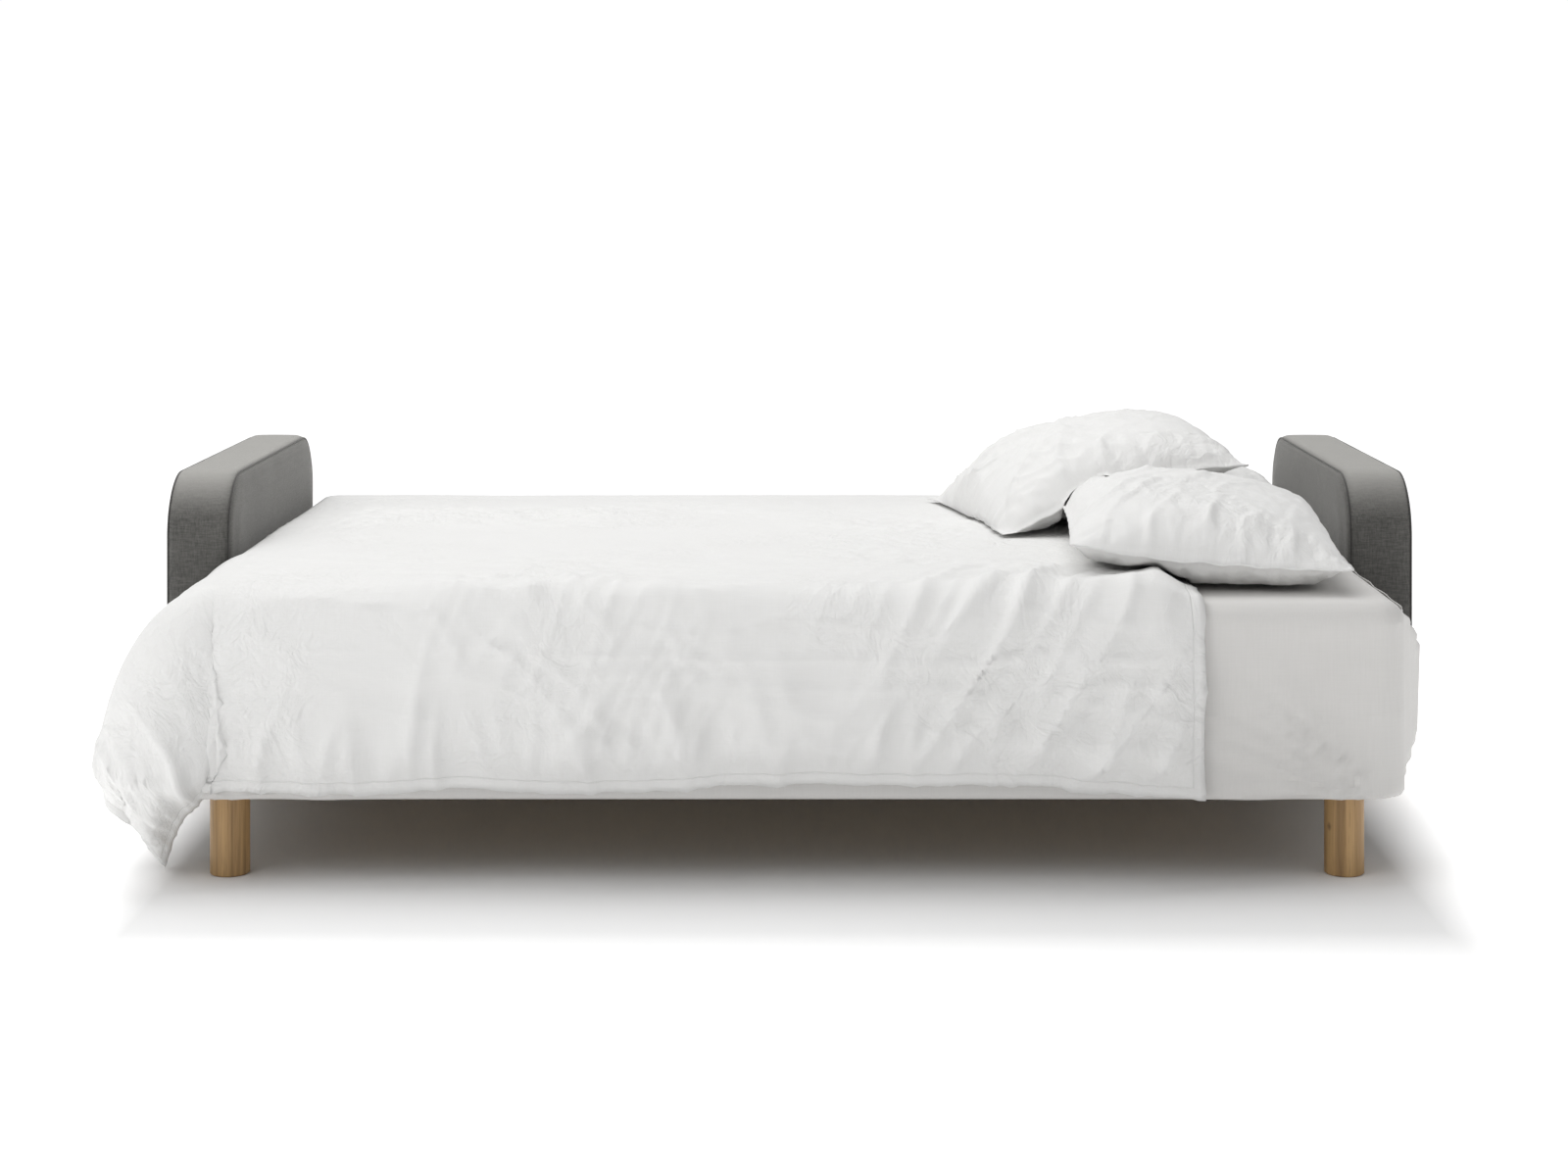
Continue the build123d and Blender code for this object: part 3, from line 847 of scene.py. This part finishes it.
def makeDuvet():
    s = duvetShape
    low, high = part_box("duvet")
    sheetLow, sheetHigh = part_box("sheet_on_seat")
    edgeX, edgeY = sheetLow.x - 0.004, sheetLow.y - 0.004
    baseZ = sheetHigh.z + 0.0015
    uLow, uHigh = edgeX + s["footTurn"] - s["footFall"], high.x + 0.014
    vLow, vHigh = edgeY + s["turn"] - s["frontFall"], high.y
    width, length = uHigh - uLow, vHigh - vLow
    cover = addGrid("duvetCover", round(width / s["cell"]), round(length / s["cell"]), width, length,
                    ((uLow + uHigh) / 2, (vLow + vHigh) / 2, 0))
    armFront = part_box("arm_cover_left")[0].y - 0.012
    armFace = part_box("arm_cover_left")[1].x
    notchX = armFace + 0.024
    startEdit(cover)
    pickFaces(cover, lambda c, n: c.x < notchX and c.y > armFront)
    bpy.ops.mesh.delete(type="FACE")
    endEdit()
    flat = cover.data.uv_layers[0]
    flat.name = "flat"
    mesh = cover.data
    for loop in mesh.loops:
        p = mesh.vertices[loop.vertex_index].co
        flat.data[loop.index].uv = (p.x, p.y)
    plump = cover.vertex_groups.new(name="plump")
    folds = []
    for vertex in mesh.vertices:
        u, v = vertex.co.x, vertex.co.y
        spot, drop, foot = duvetPlace(u, v, edgeX, edgeY, baseZ)
        edge = min(u - uLow, uHigh - u, v - vLow, (vHigh - v) * 0.17)
        # pressed flat by the arm
        edge = min(edge, 0.35 * max(u - notchX, 0.0) + 0.3 * max(armFront - v, 0.0))
        full = ramp(edge, 0.0, 0.075)
        plump.add([vertex.index], full, "REPLACE")
        height = duvetFold(u, v, drop, foot) * (0.3 + 0.7 * full)
        wave = ramp(drop, 0.12, 0.27) * (1 - ramp(foot, 0.02, 0.5))     # the front hem rises and falls
        spot.z += wave * (0.006 * math.sin(u * 5.1 + 0.6) + 0.003 * math.sin(u * 13.0 + 2))
        spot.z -= wave * 0.012 * (ramp(u, 0.3, 0.64) + ramp(-u, 0.5, 0.95))
        folds.append(height)
        vertex.co = spot
    useModifier(cover, "SOLIDIFY", thickness=s["loft"], offset=1.0, vertex_group="plump",
                thickness_vertex_group=s["rim"] / s["loft"])
    upper = cover.data.vertices[:len(folds)]
    moves = [vertex.normal * height for vertex, height in zip(upper, folds)]
    for vertex, move in zip(upper, moves):      # the under side stays smooth, by the bed
        vertex.co += move
    smoothAll(cover)
    edges = (uLow, uHigh, vLow, vHigh)
    linen = whiteLinen("duvetLinen", (0.83, 0.83, 0.825), (0.75, 0.745, 0.73), 0.45, edges)
    place(cover, "duvet", linen, "white_linen", "duvet")
    return cover


duvetCover = makeDuvet()
print("duvet done")


# pillows: two sewn panels, plump between their seams and drawn into creases along them

pillowShape = {
    "cells": (92, 116),
    "flange": 0.007,          # flat sewn edge outside the filling
    "seam": 0.0016,           # half its thickness
    "pucker": 0.006,
    "crease": 0.0085,
    "waist": 0.028,           # how far the sides are drawn in between the corners
    "rest": 0.0025,           # least gap above whatever the pillow lies on
    "settle": 0.008,          # where it starts to flatten against that
}
pillows = {        # corners of the seam: near left, near right, far right, far left
    "pillowBack": {
        "node": "pillow_back", "seed": 3.0, "over": 0.072, "below": 0.05, "arch": (0.0, 0.0),
        "corners": ((0.5, 0.075, 0.5), (0.975, 0.055, 0.5), (0.985, 0.69, 0.5), (0.51, 0.7, 0.5)),
    },
    "pillowFront": {
        "node": "pillow_front", "seed": 11.0, "over": 0.102, "below": 0.066, "arch": (-0.012, 0.0),
        "corners": ((0.464, -0.6, 0.537), (0.932, -0.602, 0.497), (0.98, 0.015, 0.505), (0.505, 0.03, 0.535)),
    },
    "pillowTop": {
        "node": "pillow_top", "seed": 23.0, "over": 0.097, "below": 0.05, "arch": (0.036, 0.03),
        "corners": ((0.388, -0.1, 0.474), (0.856, 0.01, 0.6), (0.8, 0.53, 0.6), (0.274, 0.468, 0.472)),
    },
}


def treeOf(objects):
    points, faces = [], []
    for obj in objects:
        start = len(points)
        points += [v.co.copy() for v in obj.data.vertices]
        faces += [[start + i for i in polygon.vertices] for polygon in obj.data.polygons]
    return BVHTree.FromPolygons(points, faces)


def seamSurface(spec, a, b):
    # the pillow's middle surface, a and b running from -1 to 1 between its seams
    nearLeft, nearRight, farRight, farLeft = [Vector(c) for c in spec["corners"]]
    s, t = (a + 1) / 2, (b + 1) / 2
    spot = nearLeft.lerp(nearRight, s).lerp(farLeft.lerp(farRight, s), t)
    near, far = spec["arch"]
    spot.z += (near * (1 - t) + far * t) * (1 - a * a)
    centre = (nearLeft + nearRight + farRight + farLeft) / 4
    waist = pillowShape["waist"] * ((1 - a * a) * b * b + (1 - b * b) * a * a)
    return spot.lerp(Vector((centre.x, centre.y, spot.z)), waist)


def makePillow(name, spec, under):
    s = pillowShape
    width = (Vector(spec["corners"][1]) - Vector(spec["corners"][0])).length
    length = (Vector(spec["corners"][3]) - Vector(spec["corners"][0])).length
    pad = addGrid(name, *s["cells"], width, length)
    flat = pad.data.uv_layers[0]
    flat.name = "flat"
    for loop in pad.data.loops:
        p = pad.data.vertices[loop.vertex_index].co
        flat.data[loop.index].uv = (p.x + spec["seed"], p.y + spec["seed"])
    startEdit(pad)
    bpy.ops.mesh.select_all(action="SELECT")
    bpy.ops.mesh.extrude_region_move(TRANSFORM_OT_translate={"value": (0, 0, 0.01)})
    endEdit()
    seed = spec["seed"]
    for vertex in pad.data.vertices:
        upper = vertex.co.z > 0.005
        x, y = vertex.co.x, vertex.co.y
        a, b = 2 * x / width, 2 * y / length
        spot = seamSurface(spec, a, b)
        step = 0.01
        across = seamSurface(spec, a + step, b) - seamSurface(spec, a - step, b)
        along = seamSurface(spec, a, b + step) - seamSurface(spec, a, b - step)
        normal = across.cross(along).normalized()
        insideX = max(0.0, 1 - abs(a) - 2 * s["flange"] / width)
        insideY = max(0.0, 1 - abs(b) - 2 * s["flange"] / length)
        fx, fy = 1 - (1 - insideX) ** 2.4, 1 - (1 - insideY) ** 2.4
        plump = (fx * fy) ** 0.56
        edgeX, edgeY = insideX * width / 2, insideY * length / 2
        near = min(edgeX, edgeY)
        run = y if edgeX < edgeY else x
        gather = math.exp(-near / 0.045) * ramp(near, 0.0, 0.012)
        layer = seed + (4.0 if upper else 9.0)
        wave = noise.noise(Vector((run * 26, near * 4, layer)))
        wave += 0.5 * noise.noise(Vector((run * 61, near * 9, layer)))
        crease = streak(x * 0.4 + y, x - y * 0.4, layer, 0.22, 0.085, 2.6)
        crease += 0.7 * streak(x - y * 0.6, x * 0.6 + y, layer + 2, 0.2, 0.07, 2.6)
        crease += 0.4 * streak(x * 0.2 + y, x - y * 0.2, layer + 7, 0.09, 0.026, 2)
        patch = 0.35 + 0.65 * ramp(noise.noise(Vector((x * 5, y * 5, layer))), -0.25, 0.3)
        bulge = (spec["over"] if upper else spec["below"]) * plump
        bulge *= 1 + 0.07 * noise.noise(Vector((x * 6, y * 6, layer)))
        detail = s["pucker"] * 2.2 * wave * gather + s["crease"] * crease * patch * ramp(near, 0.002, 0.05)
        flap = 0.004 * noise.noise(Vector((run * 30, 2.2, seed))) * (1 - ramp(near, 0.0, 0.02))
        height = s["seam"] + bulge + detail
        vertex.co = spot + normal * ((height if upper else -height) + flap)
    tree = treeOf(under)
    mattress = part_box("sheet_on_seat")[1].z
    for vertex in pad.data.vertices:
        p = vertex.co
        hit = tree.ray_cast(Vector((p.x, p.y, 1.5)), Vector((0, 0, -1)))
        floorZ = (hit[0].z if hit[0] else mattress) + s["rest"]
        gap = p.z - floorZ
        if gap < s["settle"]:
            p.z = floorZ + s["settle"] * math.exp(max(-6.0, (gap - s["settle"]) / 0.03))
    smoothAll(pad)
    node = spec["node"]      # its body has the same name
    place(pad, node, finishes["white_linen"], "white_linen", node)
    return pad


underneath = [seatSheet, backSheet, duvetCover]
for name in ("pillowBack", "pillowFront", "pillowTop"):
    underneath.append(makePillow(name, pillows[name], underneath))
print("pillows done")


# floor, light and camera

deselectAll()
bpy.ops.mesh.primitive_plane_add(size=30, location=(0, 0, -0.0005))
floor = freeze(bpy.context.active_object, "studioFloor")
floor.data.materials.append(paleFloor("studioFloor"))

world = bpy.data.worlds.new("studio")
world.use_nodes = True
backdrop = world.node_tree.nodes["Background"]
backdrop.inputs["Color"].default_value = (1, 1, 1, 1)
seen = Wire(world.node_tree, world.node_tree.nodes.new("ShaderNodeLightPath").outputs["Is Camera Ray"])
fill = studio["fillStrength"]
link(world.node_tree, seen * (1.02 - fill) + fill, backdrop.inputs["Strength"])
scene.world = world


def addLamp(name, location, target, size, power):
    deselectAll()
    bpy.ops.object.light_add(type="AREA", location=location)
    lamp = bpy.context.active_object
    lamp.name = name
    lamp.data.shape = "RECTANGLE"
    lamp.data.size, lamp.data.size_y = size
    lamp.data.energy = power
    lamp.rotation_euler = (Vector(target) - Vector(location)).to_track_quat("-Z", "Y").to_euler()


addLamp("keyLamp", (-2.6, -2.4, 3.6), (0, 0, 0.3), (3.0, 3.0), studio["keyPower"])
addLamp("topLamp", (-0.3, 0.6, 3.6), (0, -0.1, 0.3), (4.2, 3.2), studio["topPower"])

deselectAll()
bpy.ops.object.camera_add(location=studio["cameraPlace"], rotation=(math.pi / 2, 0, 0))
camera = bpy.context.active_object
camera.data.lens = studio["lens"]
camera.data.sensor_width = 36
camera.data.shift_x, camera.data.shift_y = studio["shift"]
scene.camera = camera
scene.view_settings.view_transform = "Standard"
scene.view_settings.look = "None"

print("ready")
